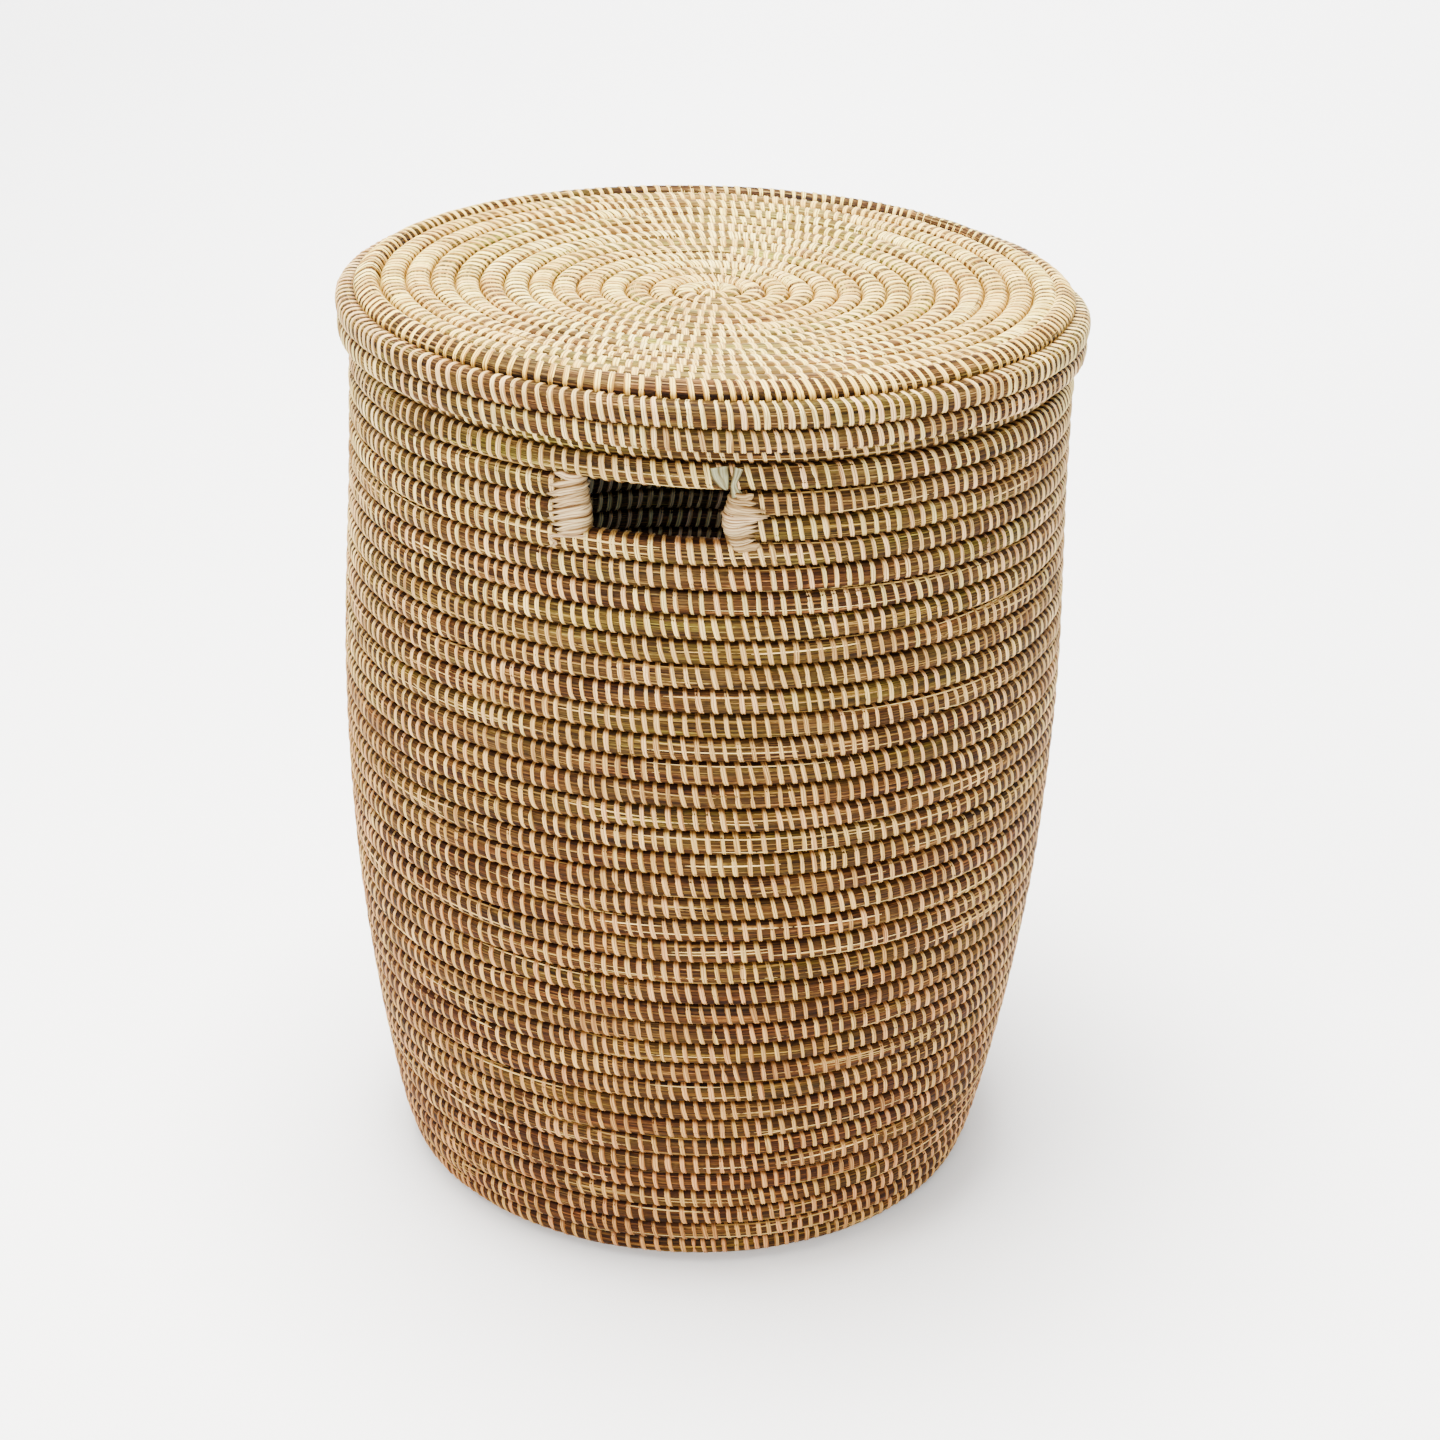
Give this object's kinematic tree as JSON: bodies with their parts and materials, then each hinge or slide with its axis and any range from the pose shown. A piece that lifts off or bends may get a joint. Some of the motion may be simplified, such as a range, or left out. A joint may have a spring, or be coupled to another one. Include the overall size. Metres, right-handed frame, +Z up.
{
  "type": "laundry basket",
  "caption": "Round hamper of coiled grass sewn with pale strip: bulging wall, hand holes front and back under the rim, dished lift-off lid.",
  "frame": {"origin": "centre of the base, on the surface it stands on", "axes": "+Z up along the basket's axis; -Y towards the front hand hole, +Y towards the back one, +X to the right seen from the front"},
  "size_m": [0.4522, 0.4522, 0.5864],
  "materials": {
    "grass_coil": "matte dried grass",
    "white_strip": "satin, slightly pearly strip"
  },
  "bodies": {
    "basket": {"base_disc": "grass_coil", "wall_coil_01": "grass_coil", "wall_coil_02": "grass_coil", "wall_coil_03": "grass_coil", "wall_coil_04": "grass_coil", "wall_coil_05": "grass_coil", "wall_coil_06": "grass_coil", "wall_coil_07": "grass_coil", "wall_coil_08": "grass_coil", "wall_coil_09": "grass_coil", "wall_coil_10": "grass_coil", "wall_coil_11": "grass_coil", "wall_coil_12": "grass_coil", "wall_coil_13": "grass_coil", "wall_coil_14": "grass_coil", "wall_coil_15": "grass_coil", "wall_coil_16": "grass_coil", "wall_coil_17": "grass_coil", "wall_coil_18": "grass_coil", "wall_coil_19": "grass_coil", "wall_coil_20": "grass_coil", "wall_coil_21": "grass_coil", "wall_coil_22": "grass_coil", "wall_coil_23": "grass_coil", "wall_coil_24": "grass_coil", "wall_coil_25": "grass_coil", "wall_coil_26": "grass_coil", "wall_coil_27": "grass_coil", "wall_coil_28": "grass_coil", "wall_coil_29": "grass_coil", "wall_coil_30": "grass_coil", "wall_coil_31": "grass_coil", "wall_coil_32": "grass_coil", "wall_coil_33": "grass_coil", "wall_coil_34": "grass_coil", "wall_coil_35": "grass_coil", "handle_rail_coil": "grass_coil", "neck_coil": "grass_coil", "mouth_coil": "grass_coil", "handle_level_coil_lower_right": "grass_coil", "handle_level_coil_upper_right": "grass_coil", "handle_level_coil_lower_left": "grass_coil", "handle_level_coil_upper_left": "grass_coil", "handle_binding_front_left": "white_strip", "handle_binding_front_right": "white_strip", "handle_binding_back_left": "white_strip", "handle_binding_back_right": "white_strip"},
    "lid": {"lid_disc": "grass_coil", "lid_edge_coil": "grass_coil", "lid_skirt_coil_upper": "grass_coil", "lid_skirt_coil_lower": "grass_coil"}
  },
  "joints": [
    {"name": "lid_lift", "type": "slide", "parent": "basket", "child": "lid", "axis": [0, 0, 1], "range_m": [0, 0.3]}
  ]
}
